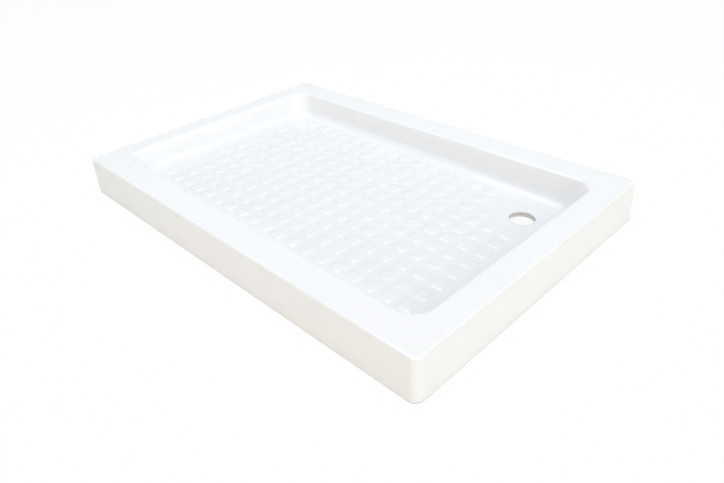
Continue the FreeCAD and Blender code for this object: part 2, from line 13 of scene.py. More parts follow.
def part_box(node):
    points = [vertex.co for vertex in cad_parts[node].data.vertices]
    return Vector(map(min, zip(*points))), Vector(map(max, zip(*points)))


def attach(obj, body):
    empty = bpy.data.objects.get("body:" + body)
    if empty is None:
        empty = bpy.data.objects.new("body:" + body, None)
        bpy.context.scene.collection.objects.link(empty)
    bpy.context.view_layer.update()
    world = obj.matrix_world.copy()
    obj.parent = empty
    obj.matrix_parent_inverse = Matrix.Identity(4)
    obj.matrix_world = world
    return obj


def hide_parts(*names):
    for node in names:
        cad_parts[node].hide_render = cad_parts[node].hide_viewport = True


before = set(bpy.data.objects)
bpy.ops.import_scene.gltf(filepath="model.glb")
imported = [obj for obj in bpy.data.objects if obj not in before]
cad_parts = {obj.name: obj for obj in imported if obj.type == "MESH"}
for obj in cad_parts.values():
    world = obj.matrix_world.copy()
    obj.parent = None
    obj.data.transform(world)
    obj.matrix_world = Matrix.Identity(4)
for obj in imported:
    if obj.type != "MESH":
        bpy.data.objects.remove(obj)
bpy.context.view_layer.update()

MM = 0.001

# ---------------------------------------------------------------- tray shell
# One skin of cast acrylic sheet, vacuum formed over a mould: a leaning skirt, a flat
# deck and a basin whose floor falls to the waste corner.  The hole is cut afterwards.
HALF_LENGTH, HALF_WIDTH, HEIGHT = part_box("tray_shell")[1]
SKIN = 4.5 * MM
DRAFT = math.tan(math.radians(2))
PLAN_CORNER = 20 * MM
EDGE_RADIUS = 6 * MM
DECK_END, DECK_SIDE = 64.5 * MM, 76.5 * MM
OPENING_CORNER, RIM_RADIUS = 47 * MM, 8 * MM
WALL_RUN, FLOOR_DEPTH = 25 * MM, 61 * MM
FALL_ALONG, FALL_ACROSS = 0.010, 0.020
FLOOR_CORNER, COVE_RADIUS = 55 * MM, 30 * MM
FLOOR_HEIGHT = HEIGHT - FLOOR_DEPTH
LEAN = math.atan(WALL_RUN / FLOOR_DEPTH)
WASTE = (425.5 * MM, 187 * MM)
WASTE_RADIUS, WASTE_LIP = 30 * MM, 2.5 * MM
STUD_SIZE, STUD_PITCH, STUD_HEIGHT = 33 * MM, 49.5 * MM, 2.5 * MM
STUD_CORNER = 7.5 * MM
COLUMNS, ROWS = 9, 5
LAST_COLUMN = {3: 7, 4: 6, 5: 6}
WASTE_COLUMN, WASTE_ROW = 8, 3
FIELD_EDGE = 19.5 * MM
EDGE_GUARD, FOOT_ROUNDING = 0.4 * MM, 1.5 * MM
CORNER_STEPS = 12
FRONT_BEND_STEPS, BACK_BEND_STEPS, FOOT_BEND_STEPS, LIP_STEPS = 6, 3, 4, 4

# The plan is divided by the lines half way between studs, which every outline shares.
column_lines = np.arange(-COLUMNS - 0.5, COLUMNS + 1) * STUD_PITCH
row_lines = np.arange(-ROWS - 0.5, ROWS + 1) * STUD_PITCH
for lines, count in ((column_lines, COLUMNS), (row_lines, ROWS)):
    lines[0], lines[-1] = -(count * STUD_PITCH + FIELD_EDGE), count * STUD_PITCH + FIELD_EDGE


def outline(half_x, half_y, corner):
    """A rounded rectangle in plan, anticlockwise from the near left.

    The straight sides are divided as the stud field is, and each corner is a quarter
    circle in equal steps.  Gives the points and their outward directions.
    """
    across = np.concatenate((column_lines / column_lines[-1], np.full(CORNER_STEPS - 1, 1.0)))
    up = np.concatenate((row_lines / row_lines[-1], np.full(CORNER_STEPS - 1, 1.0)))
    x_sign = np.concatenate((across, np.full(len(up), 1.0), -across, np.full(len(up), -1.0)))
    y_sign = np.concatenate((np.full(len(across), -1.0), up, np.full(len(across), 1.0), -up))
    turn = np.arange(1, CORNER_STEPS) / CORNER_STEPS
    angle = np.concatenate([np.concatenate((np.zeros(len(lines)), turn)) + quarter - 1
                            for quarter, lines in enumerate((column_lines, row_lines) * 2)]) * math.pi / 2
    away = np.stack((np.cos(angle), np.sin(angle)), 1)
    centre = np.stack((x_sign * (half_x - corner), y_sign * (half_y - corner)), 1)
    return centre + away * corner, away


def on_floor(plan, depth=0.0):
    """Plan points set on the plane that lies depth below the sloped floor."""
    slant = math.sqrt(1 + FALL_ALONG ** 2 + FALL_ACROSS ** 2)
    height = FLOOR_HEIGHT - depth * slant - plan[:, 0] * FALL_ALONG - plan[:, 1] * FALL_ACROSS
    return np.column_stack((plan, height))


def level(plan, height):
    """Plan points at one height."""
    return np.column_stack((plan, np.full(len(plan), height)))


def bend(corner, arriving, leaving, radius, steps):
    """Rings round a bend: the circle of that radius that touches both directions at each corner."""
    turn = np.arccos(np.clip((arriving * leaving).sum(1), -1, 1))[:, None]
    start = corner - arriving * radius * np.tan(turn / 2)
    side = leaving - arriving * np.cos(turn)
    side /= np.linalg.norm(side, axis=1)[:, None]
    return [start + radius * (arriving * np.sin(turn * t) + side * (1 - np.cos(turn * t)))
            for t in np.arange(steps + 1) / steps]


def between(first, last, steps):
    """Evenly spaced rings between two rings, ends left out."""
    return [first + (last - first) * t for t in np.arange(1, steps) / steps]


def skin_rings(grow, bend_steps):
    """The rings of the shell's face from the foot to the flat floor.

    grow is 0 for the outer face, and the wall's thickness for the face behind it:
    the skirt then moves in, the deck down and the basin out by that much.
    """
    inset = grow / math.cos(math.atan(DRAFT))
    foot, away = outline(HALF_LENGTH - inset, HALF_WIDTH - inset, PLAN_CORNER - grow)
    down_out = np.column_stack((away * DRAFT, np.full(len(away), -1.0)))
    down_out /= np.linalg.norm(down_out, axis=1)[:, None]
    outward = level(away, 0.0)
    top = HEIGHT - grow
    edge = level(foot - away * top * DRAFT, top)
    edge_rings = bend(edge, -down_out, -outward, max(EDGE_RADIUS - grow, MM), bend_steps)
    skirt_foot = level(foot - away * FOOT_ROUNDING * DRAFT, FOOT_ROUNDING)
    rings = [skirt_foot] + between(skirt_foot, edge_rings[0], 5) + edge_rings

    half_x = HALF_LENGTH - HEIGHT * DRAFT - DECK_END
    half_y = HALF_WIDTH - HEIGHT * DRAFT - DECK_SIDE
    lean_out = grow / math.cos(LEAN)
    up_out = lean_out - grow * math.tan(LEAN)
    rim, away = outline(half_x + up_out, half_y + up_out, OPENING_CORNER + up_out)
    rim = level(rim, top)
    floor_plan, away = outline(half_x - WALL_RUN + up_out, half_y - WALL_RUN + up_out, FLOOR_CORNER + up_out)
    corner = on_floor(floor_plan, grow)
    wall = corner - rim
    inward = level(-away, 0.0)
    wall = inward * (wall * inward).sum(1)[:, None] + wall * [0, 0, 1]
    wall /= np.linalg.norm(wall, axis=1)[:, None]
    along_floor = inward + [0, 0, 1] * (away @ [FALL_ALONG, FALL_ACROSS])[:, None]
    along_floor /= np.linalg.norm(along_floor, axis=1)[:, None]
    rim_rings = bend(rim, inward, wall, RIM_RADIUS - grow, bend_steps)
    cove_rings = bend(corner, wall, along_floor, COVE_RADIUS + grow, 2 * bend_steps)
    rings += between(edge_rings[-1], rim_rings[0], 4) + rim_rings
    rings += between(rim_rings[-1], cove_rings[0], 3) + cove_rings
    return rings


class Surface:
    """Points and faces gathered for one mesh."""

    def __init__(self):
        self.points, self.faces, self.count = [], [], 0

    def add(self, points):
        """Adds points and gives their numbers."""
        numbers = np.arange(self.count, self.count + len(points))
        self.points.append(np.asarray(points, float))
        self.count += len(points)
        return numbers

    def strip(self, first, second, closed=True):
        """Quads between two rows of equal length."""
        quads = np.stack((first, np.roll(first, -1), np.roll(second, -1), second), 1)
        self.faces += (quads if closed else quads[:-1]).tolist()

    def rings(self, rings):
        """Strips through a stack of rings; gives the first and last ring's numbers."""
        numbers = [self.add(ring) for ring in rings]
        for first, second in zip(numbers, numbers[1:]):
            self.strip(first, second)
        return numbers[0], numbers[-1]

    def loop(self, rings):
        """Strips through a stack of rings and back to the first, for a piece with a bore."""
        numbers = [self.add(ring) for ring in rings]
        for first, second in zip(numbers, numbers[1:] + numbers[:1]):
            self.strip(first, second)

    def capped(self, rings):
        """Strips through a stack of rings, closed by a face at each end."""
        low, high = self.rings(rings)
        self.faces += [low[::-1].tolist(), high.tolist()]

    def flat_ring(self, outside, inside, centre, downwards=False):
        """Triangles between a loop and a loop within it, both anticlockwise round the centre."""
        points = np.concatenate(self.points)[:, :2] - centre
        angles = np.arctan2(points[:, 1], points[:, 0])
        far = np.unwrap(angles[np.append(outside, outside[0])])
        inside = np.roll(inside, -int(np.argmin(np.abs(np.sin((angles[inside] - far[0]) / 2)))))
        near = np.unwrap(angles[np.append(inside, inside[0])])
        near += 2 * math.pi * round((far[0] - near[0]) / (2 * math.pi))
        i = j = 0
        while i < len(outside) or j < len(inside):
            corner, other = int(outside[i % len(outside)]), int(inside[j % len(inside)])
            if j == len(inside) or (i < len(outside) and far[i + 1] < near[j + 1]):
                i += 1
                face = [corner, int(outside[i % len(outside)]), other]
            else:
                j += 1
                face = [corner, int(inside[j % len(inside)]), other]
            self.faces.append(face[::-1] if downwards else face)

    def object(self, name, crease=None):
        """A smooth-shaded object whose flat faces keep their own normals, sharp past the crease angle."""
        mesh = bpy.data.meshes.new(name)
        mesh.from_pydata(np.concatenate(self.points).tolist(), [], self.faces)
        mesh.shade_smooth()
        if crease:
            mesh.set_sharp_from_angle(angle=math.radians(crease))
        thing = bpy.data.objects.new(name, mesh)
        bpy.context.scene.collection.objects.link(thing)
        weighted = thing.modifiers.new("flat faces lead", "WEIGHTED_NORMAL")
        weighted.weight = 90
        weighted.keep_sharp = True
        return thing


# Each stud is a pillow: scaled copies of one rounded square, stacked from a small hollow
# at its foot over a soft shoulder to the flat top.  Sizes are parts of its half side.
STUD_SECTION = ((1.10, 0.0), (1.02, 0.09), (0.94, 0.40), (0.84, 0.74), (0.73, 0.92), (0.6, 0.98), (0.45, 1.0))
STUD_CORNER_STEPS = 5
stud_turn = (np.arange(STUD_CORNER_STEPS) / (STUD_CORNER_STEPS - 1) + np.arange(-1, 3)[:, None]).ravel()
stud_turn *= math.pi / 2
corner_sign = np.repeat([[1, -1], [1, 1], [-1, 1], [-1, -1]], STUD_CORNER_STEPS, axis=0)
stud_outline = (corner_sign * (STUD_SIZE / 2 - STUD_CORNER)
                + np.stack((np.cos(stud_turn), np.sin(stud_turn)), 1) * STUD_CORNER)
HOLE_STEPS = 48

shell = Surface()
foot_rings = []
for step in range(FOOT_BEND_STEPS):
    angle = step / FOOT_BEND_STEPS * math.pi / 2
    inset = FOOT_ROUNDING * (1 - math.sin(angle))
    plan = outline(HALF_LENGTH - inset, HALF_WIDTH - inset, PLAN_CORNER - inset)[0]
    foot_rings.append(level(plan, FOOT_ROUNDING * (1 - math.cos(angle))))
foot_ring, floor_ring = shell.rings(foot_rings + skin_rings(0.0, FRONT_BEND_STEPS))
grid = np.array([[x, y] for y in row_lines for x in column_lines])
grid_numbers = shell.add(on_floor(grid)).reshape(len(row_lines), len(column_lines))

# From the cove's inner ring to the edge of the stud field, side by side, with a fan at each corner.
side_rows = (grid_numbers[0], grid_numbers[:, -1], grid_numbers[-1, ::-1], grid_numbers[::-1, 0])
start = 0
for side in side_rows:
    ring_part = floor_ring[start:start + len(side)]
    shell.strip(side, ring_part, closed=False)
    shell.faces[-len(side) + 1:] = [face[::-1] for face in shell.faces[-len(side) + 1:]]
    fan = np.take(floor_ring, range(start + len(side) - 1, start + len(side) + CORNER_STEPS), mode="wrap")
    shell.faces += [[int(a), int(b), int(side[-1])] for a, b in zip(fan, fan[1:])]
    start += len(side) + CORNER_STEPS - 1

# Cell by cell across the floor: four faces round a stud, then the stud; or one plain face.
for row in range(-ROWS, ROWS + 1):
    for column in range(-COLUMNS, COLUMNS + 1):
        i, j = column + COLUMNS, row + ROWS
        cell = [int(grid_numbers[j, i]), int(grid_numbers[j, i + 1]),
                int(grid_numbers[j + 1, i + 1]), int(grid_numbers[j + 1, i])]
        if column > LAST_COLUMN.get(row, COLUMNS):
            if not (row >= WASTE_ROW and column >= WASTE_COLUMN):
                shell.faces.append(cell)
            continue
        centre = np.array([column, row]) * STUD_PITCH
        stud_foot, stud_top = shell.rings([on_floor(centre + stud_outline * size, -height * STUD_HEIGHT)
                                           for size, height in STUD_SECTION])
        shell.faces.append(stud_top.tolist())
        for quarter in range(4):
            arc_start = quarter * STUD_CORNER_STEPS + STUD_CORNER_STEPS // 2
            arc = np.take(stud_foot, range(arc_start, arc_start + STUD_CORNER_STEPS + 1), mode="wrap")
            # corner number quarter + 1 of the cell faces the arc that follows it
            first, second = cell[(quarter + 1) % 4], cell[(quarter + 2) % 4]
            shell.faces.append([first, second] + arc[::-1].tolist())

# The waste hole: a rounded lip, the bore, and the floor's own back.
hole_turn = np.arange(HOLE_STEPS) / HOLE_STEPS * 2 * math.pi
hole_circle = np.stack((np.cos(hole_turn), np.sin(hole_turn)), 1)
lip = []
for step in range(LIP_STEPS + 1):
    angle = step / LIP_STEPS * math.pi / 2
    radius = WASTE_RADIUS + WASTE_LIP * (1 - math.sin(angle))
    lip.append(on_floor(hole_circle * radius + WASTE, WASTE_LIP * (1 - math.cos(angle))))
lip += [on_floor(hole_circle * WASTE_RADIUS + WASTE, depth) for depth in (SKIN - EDGE_GUARD, SKIN)]
lip_numbers = [shell.add(ring) for ring in lip]
for upper, lower in zip(lip_numbers, lip_numbers[1:]):
    shell.strip(upper, lower)
block = grid_numbers[WASTE_ROW + ROWS:, WASTE_COLUMN + COLUMNS:]
block_loop = np.concatenate((block[0], block[1:, -1], block[-1, -2::-1], block[-2:0:-1, 0]))
shell.flat_ring(block_loop, lip_numbers[0], WASTE)

# The face behind, from the foot up the inside of the skirt, over and down to the floor's back.
# It looks the other way, so its faces, the last ones so far, are turned over.
plan = outline(HALF_LENGTH - SKIN, HALF_WIDTH - SKIN, PLAN_CORNER - SKIN)[0]
back_foot, back_floor = shell.rings([level(plan, 0.0)] + skin_rings(SKIN, BACK_BEND_STEPS))
for index in range(len(shell.faces) - 1, -1, -1):
    if min(shell.faces[index]) < back_foot[0]:
        break
    shell.faces[index] = shell.faces[index][::-1]
shell.strip(back_foot, foot_ring)
shell.flat_ring(back_floor, lip_numbers[-1], WASTE, downwards=True)
tray_shell = shell.object("tray_shell_skin")
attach(tray_shell, "tray")
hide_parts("tray_shell")


def linear(hex_colour):
    """An sRGB hex colour as linear red, green, blue and alpha."""
    parts = [int(hex_colour[i:i + 2], 16) / 255 for i in (1, 3, 5)]
    return [p / 12.92 if p <= 0.04045 else ((p + 0.055) / 1.055) ** 2.4 for p in parts] + [1.0]


def add_node(tree, kind, links=None, **settings):
    """Adds a node, sets its properties, inputs or colour stops, and links {input: (node, output)}."""
    node = tree.nodes.new("ShaderNode" + kind)
    for name, number in settings.items():
        if name == "stops":
            while len(node.color_ramp.elements) < len(number):
                node.color_ramp.elements.new(0.5)
            for element, (position, colour) in zip(node.color_ramp.elements, number):
                element.position, element.color = position, linear(colour)
        elif name in node.bl_rna.properties:
            setattr(node, name, number)
        else:
            node.inputs[name.replace("_", " ")].default_value = number
    for socket, (source, output) in (links or {}).items():
        tree.links.new(source.outputs[output], node.inputs[socket])
    return node


def new_material(name):
    """A material with an empty tree, its output and its shader."""
    material = bpy.data.materials.new(name)
    material.use_nodes = True
    tree = material.node_tree
    tree.nodes.clear()
    shader = add_node(tree, "BsdfPrincipled")
    add_node(tree, "OutputMaterial", {"Surface": (shader, "BSDF")})
    return material, tree, shader


def paint(thing, material):
    """Gives the whole of a piece one material."""
    thing.data.materials.clear()
    thing.data.materials.append(material)


# White cast acrylic, vacuum formed: a glossy skin with the faint long ripple of hot
# sheet and a very slight unevenness of gloss.  IOR 1.49.
acrylic, tree, shader = new_material("cast_acrylic_vacuum_formed")
shader.inputs["IOR"].default_value = 1.49
coords = add_node(tree, "TexCoord")
ripple = add_node(tree, "TexNoise", {"Vector": (coords, "Object")}, Scale=14.0, Detail=2.0)
peel = add_node(tree, "TexNoise", {"Vector": (coords, "Object")}, Scale=160.0, Detail=2.0)
tint = add_node(tree, "ValToRGB", {"Fac": (ripple, "Fac")}, stops=((0.0, "#f1f2f1"), (1.0, "#f5f6f6")))
# painted shade: faces that look up, low in the basin, are painted a shade darker and cooler, for the shade on
# the basin's floor
axes = add_node(tree, "SeparateXYZ", {"Vector": (coords, "Object")})
facing = add_node(tree, "SeparateXYZ", {"Vector": (coords, "Normal")})
deep = add_node(tree, "MapRange", {"Value": (axes, "Z")}, From_Min=55 * MM, From_Max=85 * MM,
                To_Min=1.0, To_Max=0.0)
basin_shade_mask = add_node(tree, "Math", {0: (deep, "Result"), 1: (facing, "Z")}, operation="MULTIPLY", use_clamp=True)
shaded = add_node(tree, "MixRGB", {"Fac": (basin_shade_mask, "Value"), "Color1": (tint, "Color")}, blend_type="MULTIPLY",
                  Color2=linear("#f8f9fb"))
# painted shade: the lowest 1.5 mm of the skirt is painted grey, fading out by 2.5 mm, for the dark line where
# the tray meets the floor
foot_shade_mask = add_node(tree, "MapRange", {"Value": (axes, "Z")}, From_Min=1.5 * MM, From_Max=2.5 * MM,
                To_Min=1.0, To_Max=0.0)
foot_shaded_tint = add_node(tree, "MixRGB", {"Fac": (foot_shade_mask, "Result"), "Color1": (shaded, "Color")}, blend_type="MULTIPLY",
                 Color2=linear("#b9beb5"))
tree.links.new(foot_shaded_tint.outputs["Color"], shader.inputs["Base Color"])
gloss = add_node(tree, "MapRange", {"Value": (peel, "Fac")}, To_Min=0.15, To_Max=0.22)
tree.links.new(gloss.outputs["Result"], shader.inputs["Roughness"])
relief = add_node(tree, "Bump", {"Height": (ripple, "Fac")}, Strength=0.05, Distance=1.5 * MM)
fine_relief = add_node(tree, "Bump", {"Height": (peel, "Fac"), "Normal": (relief, "Normal")},
                       Strength=0.06, Distance=0.12 * MM)
tree.links.new(fine_relief.outputs["Normal"], shader.inputs["Normal"])
paint(tray_shell, acrylic)

# ---------------------------------------------------------------- laminate
# Chopped glass strands and polyester resin, sprayed on the back of the acrylic and rolled
# out.  Cured it is cream, a little see-through and rough, with the strands lying all ways.
LAMINATE_BOND, LAMINATE = 0.8 * MM, 3 * MM
laminate_material, tree, shader = new_material("sprayed_glass_strand_laminate")
shader.inputs["IOR"].default_value = 1.55
coords = add_node(tree, "TexCoord")
strands = None
for turn_degrees in (12, 74, 131):
    # strands about 20 mm long, drawn 2 mm wide so that they show
    laid = add_node(tree, "Mapping", {"Vector": (coords, "Object")}, Scale=(55, 520, 180),
                    Rotation=(0, 0, math.radians(turn_degrees)))
    layer = add_node(tree, "TexNoise", {"Vector": (laid, "Vector")}, Scale=1.0, Detail=1.0)
    if strands:
        layer = add_node(tree, "Math", {0: (strands, outlet), 1: (layer, "Fac")}, operation="MAXIMUM")
    strands, outlet = layer, "Value" if strands else "Fac"
tint = add_node(tree, "ValToRGB", {"Fac": (strands, outlet)},
                stops=((0.45, "#dddbd0"), (0.60, "#e9e8e0"), (0.72, "#f3f2ed")))
tree.links.new(tint.outputs["Color"], shader.inputs["Base Color"])
gloss = add_node(tree, "MapRange", {"Value": (strands, outlet)}, From_Min=0.4, From_Max=0.75,
                 To_Min=0.38, To_Max=0.62)
tree.links.new(gloss.outputs["Result"], shader.inputs["Roughness"])
relief = add_node(tree, "Bump", {"Height": (strands, outlet)}, Strength=0.4, Distance=0.5 * MM)
tree.links.new(relief.outputs["Normal"], shader.inputs["Normal"])
paint(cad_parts["laminate_backing"], laminate_material)

# ---------------------------------------------------------------- baseboard
# A flat chipboard panel under the floor, glassed on.  Pressed chips from 1 to 6 mm lie
# flat in it, in straw and brown, and its sanded face is sealed with a thin coat of resin.
chipboard, tree, shader = new_material("resin_sealed_chipboard")
coords = add_node(tree, "TexCoord")
flat = add_node(tree, "Mapping", {"Vector": (coords, "Object")}, Scale=(170, 260, 700))
bent = add_node(tree, "TexNoise", {"Vector": (flat, "Vector")}, Scale=0.7, Detail=3.0)
chips = add_node(tree, "TexVoronoi", {"Vector": (flat, "Vector")}, Scale=1.0, Randomness=1.0)
dust = add_node(tree, "TexNoise", {"Vector": (coords, "Object")}, Scale=900.0, Detail=3.0)
chip_tone = add_node(tree, "SeparateColor", {"Color": (chips, "Color")})
blended = add_node(tree, "Math", {0: (chip_tone, "Red"), 1: (bent, "Fac")}, operation="MULTIPLY_ADD")
blended.inputs[2].default_value = 0.1
tint = add_node(tree, "ValToRGB", {"Fac": (blended, "Value")},
                stops=((0.10, "#8a6438"), (0.30, "#b08a55"), (0.48, "#c8a670"), (0.66, "#d9bd8c")))
tree.links.new(tint.outputs["Color"], shader.inputs["Base Color"])
gloss = add_node(tree, "MapRange", {"Value": (dust, "Fac")}, To_Min=0.42, To_Max=0.68)
tree.links.new(gloss.outputs["Result"], shader.inputs["Roughness"])
relief = add_node(tree, "Bump", {"Height": (blended, "Value")}, Strength=0.35, Distance=0.3 * MM)
tree.links.new(relief.outputs["Normal"], shader.inputs["Normal"])
paint(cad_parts["baseboard"], chipboard)

# ---------------------------------------------------------------- doubler ring
# A moulded polypropylene ring bonded under the waste hole, where the waste is clamped.
# It lies parallel to the sloped floor, and its edges are rounded by 1 mm.
RING_RADIUS, RING_THICK, RING_EDGE = 50 * MM, 6 * MM, 1 * MM
RING_TOP = SKIN + LAMINATE_BOND + LAMINATE
RING_BOTTOM = RING_TOP + RING_THICK
ring_section = ((WASTE_RADIUS + RING_EDGE, RING_BOTTOM), (RING_RADIUS - RING_EDGE, RING_BOTTOM),
                (RING_RADIUS - 0.3 * RING_EDGE, RING_BOTTOM - 0.3 * RING_EDGE),
                (RING_RADIUS, RING_BOTTOM - RING_EDGE), (RING_RADIUS, RING_TOP + 0.3 * RING_EDGE),
                (RING_RADIUS - 0.3 * RING_EDGE, RING_TOP),
                (WASTE_RADIUS + 0.3 * RING_EDGE, RING_TOP), (WASTE_RADIUS, RING_TOP + 0.3 * RING_EDGE),
                (WASTE_RADIUS, RING_BOTTOM - RING_EDGE),
                (WASTE_RADIUS + 0.3 * RING_EDGE, RING_BOTTOM - 0.3 * RING_EDGE))
doubler = Surface()
doubler.loop([on_floor(hole_circle * radius + WASTE, depth) for radius, depth in ring_section])
waste_ring = doubler.object("waste_ring_moulding")
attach(waste_ring, "tray")
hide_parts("waste_ring")
polypropylene, tree, shader = new_material("moulded_white_polypropylene")
shader.inputs["IOR"].default_value = 1.49
coords = add_node(tree, "TexCoord")
cloud = add_node(tree, "TexNoise", {"Vector": (coords, "Object")}, Scale=60.0, Detail=2.0)
grit = add_node(tree, "TexNoise", {"Vector": (coords, "Object")}, Scale=1500.0, Detail=2.0)
tint = add_node(tree, "ValToRGB", {"Fac": (cloud, "Fac")}, stops=((0.3, "#efefed"), (0.7, "#f5f5f3")))
tree.links.new(tint.outputs["Color"], shader.inputs["Base Color"])
gloss = add_node(tree, "MapRange", {"Value": (cloud, "Fac")}, To_Min=0.34, To_Max=0.46)
tree.links.new(gloss.outputs["Result"], shader.inputs["Roughness"])
relief = add_node(tree, "Bump", {"Height": (grit, "Fac")}, Strength=0.15, Distance=0.1 * MM)
tree.links.new(relief.outputs["Normal"], shader.inputs["Normal"])
paint(waste_ring, polypropylene)

# ---------------------------------------------------------------- battens
# Four strips of planed spruce glassed under the deck.  Growth rings 2 to 4 mm apart run
# along each strip as pale and amber bands, with fine fibre between them.
for run, stretch, names in (("lengthways", (4, 260, 260), ("batten_near", "batten_far")),
                            ("crossways", (260, 4, 260), ("batten_left", "batten_right"))):
    spruce, tree, shader = new_material("planed_spruce_" + run)
    coords = add_node(tree, "TexCoord")
    drawn = add_node(tree, "Mapping", {"Vector": (coords, "Object")}, Scale=stretch)
    year_rings = add_node(tree, "TexNoise", {"Vector": (drawn, "Vector")}, Scale=1.0, Detail=2.0,
                          Distortion=0.4)
    fine = add_node(tree, "Mapping", {"Vector": (coords, "Object")}, Scale=[6 * part for part in stretch])
    fibre = add_node(tree, "TexNoise", {"Vector": (fine, "Vector")}, Scale=1.0, Detail=2.0)
    grain = add_node(tree, "Math", {0: (fibre, "Fac"), 2: (year_rings, "Fac")}, operation="MULTIPLY_ADD")
    grain.inputs[1].default_value = 0.3
    tint = add_node(tree, "ValToRGB", {"Fac": (grain, "Value")},
                    stops=((0.50, "#dcc193"), (0.62, "#d3b17c"), (0.70, "#bd9158"), (0.80, "#cfa974")))
    tree.links.new(tint.outputs["Color"], shader.inputs["Base Color"])
    gloss = add_node(tree, "MapRange", {"Value": (fibre, "Fac")}, To_Min=0.55, To_Max=0.75)
    tree.links.new(gloss.outputs["Result"], shader.inputs["Roughness"])
    relief = add_node(tree, "Bump", {"Height": (grain, "Value")}, Strength=0.3, Distance=0.2 * MM)
    tree.links.new(relief.outputs["Normal"], shader.inputs["Normal"])
    for name in names:
        paint(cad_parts[name], spruce)

# ---------------------------------------------------------------- leg plates and inserts
# Pressed steel plates with a threaded boss, screwed up against the long battens, and
# turned steel inserts in the board.  Bright zinc plate gives them a soft bluish shine.
zinc, tree, shader = new_material("bright_zinc_plated_steel")
shader.inputs["Metallic"].default_value = 1.0
coords = add_node(tree, "TexCoord")
bloom = add_node(tree, "TexNoise", {"Vector": (coords, "Object")}, Scale=90.0, Detail=3.0)
crystals = add_node(tree, "TexNoise", {"Vector": (coords, "Object")}, Scale=1200.0, Detail=2.0)
tint = add_node(tree, "ValToRGB", {"Fac": (bloom, "Fac")},
                stops=((0.30, "#b9bfc6"), (0.50, "#cbced1"), (0.70, "#d3d1c6")))
tree.links.new(tint.outputs["Color"], shader.inputs["Base Color"])
gloss = add_node(tree, "MapRange", {"Value": (crystals, "Fac")}, To_Min=0.22, To_Max=0.42)
tree.links.new(gloss.outputs["Result"], shader.inputs["Roughness"])
relief = add_node(tree, "Bump", {"Height": (crystals, "Fac")}, Strength=0.12, Distance=0.05 * MM)
tree.links.new(relief.outputs["Normal"], shader.inputs["Normal"])
RIM_LEGS = [side + "_" + end for side in ("near", "far") for end in ("left", "mid", "right")]
FLOOR_LEGS = ["floor_" + end for end in ("left", "mid", "right")]
paint(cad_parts["floor_inserts"], zinc)
for spot in RIM_LEGS:
    paint(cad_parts["leg_plate_" + spot], zinc)


def turned(profile, steps):
    """Rings of a turned shape: a circle in equal steps for each radius and height.

    A radius may also be an array, one for each step, where the shape isn't round.
    """
    turn = np.arange(steps) / steps * 2 * math.pi
    circle = np.stack((np.cos(turn), np.sin(turn)), 1)
    return [level(circle * np.reshape(radius, (-1, 1)), height) for radius, height in profile]


def middle(node):
    """The point midway between a node's lowest and highest corners, at the height of its lowest."""
    low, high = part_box(node)
    return np.array([(low.x + high.x) / 2, (low.y + high.y) / 2, low.z])


# ---------------------------------------------------------------- plate screws
# Two pan head wood screws with a cross recess hold each plate.  Heads 8 mm wide and
# 2.4 mm high, formed cold, then plated as the plates are.
SCREW_STEPS, SCREW_SPREAD = 32, 46 * MM
SCREW_HEAD, SCREW_SHANK, SCREW_POINT = 2.4 * MM, 2 * MM, 3 * MM
RECESS_DEPTH, RECESS_HALF = 1.3 * MM, 0.45 * MM
screw_turn = np.arange(SCREW_STEPS) / SCREW_STEPS * 2 * math.pi
screws = Surface()
screw_low, screw_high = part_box("plate_screws")
screw_length = screw_high.z - screw_low.z
screw_profile = []
for radius, height in ((0.3, 0.0), (0.8, 0.01), (1.3, 0.05), (1.8, 0.15), (2.4, 0.4), (3.1, 0.95), (3.6, 1.6),
                       (3.9, 2.2), (3.9, 2.4)):
    # the recess sinks into the dome where a point lies on either arm of the cross
    across = radius * MM * np.minimum(np.abs(np.cos(screw_turn)), np.abs(np.sin(screw_turn)))
    sunk = np.where((across < RECESS_HALF) & (radius < 2.0), RECESS_DEPTH * (1 - radius / 2.6), 0.0)
    screw_profile.append((radius * MM, height * MM + sunk))
screw_profile += [(SCREW_SHANK, SCREW_HEAD), (SCREW_SHANK, screw_length - SCREW_POINT),
                  (0.2 * MM, screw_length)]
for spot in RIM_LEGS:
    for end in (-0.5, 0.5):
        place = middle("leg_plate_" + spot)
        place[0] += end * SCREW_SPREAD
        place[2] = screw_low.z
        screws.capped([ring + place for ring in turned(screw_profile, SCREW_STEPS)])
plate_screws = screws.object("plate_screw_set", crease=50)
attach(plate_screws, "tray")
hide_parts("plate_screws")
paint(plate_screws, zinc)

# ---------------------------------------------------------------- lock nuts
# One M10 hexagon nut under each leg plate, 17 mm across its flats.  Both faces are
# chamfered by 30 degrees, which cuts each corner to an arc.
HEX_STEPS = 48
hex_turn = np.arange(HEX_STEPS) / HEX_STEPS * 2 * math.pi


def hexagon(flats, low, high, face_share=0.95):
    """Radii and heights up the outside of a hexagon chamfered by 30 degrees at both ends.

    At each height it is as wide as the narrower of the hexagon and the chamfer's cone.
    """
    side = flats / 2 / np.cos(hex_turn % (math.pi / 3) - math.pi / 6)
    reach = (flats / 2 / math.cos(math.pi / 6) - face_share * flats / 2) * math.tan(math.pi / 6)
    climb = np.linspace(0, reach, 6)
    radii = [np.minimum(side, face_share * flats / 2 + up / math.tan(math.pi / 6)) for up in climb]
    return list(zip(radii, low + climb)) + list(zip(radii[::-1], high - climb[::-1]))


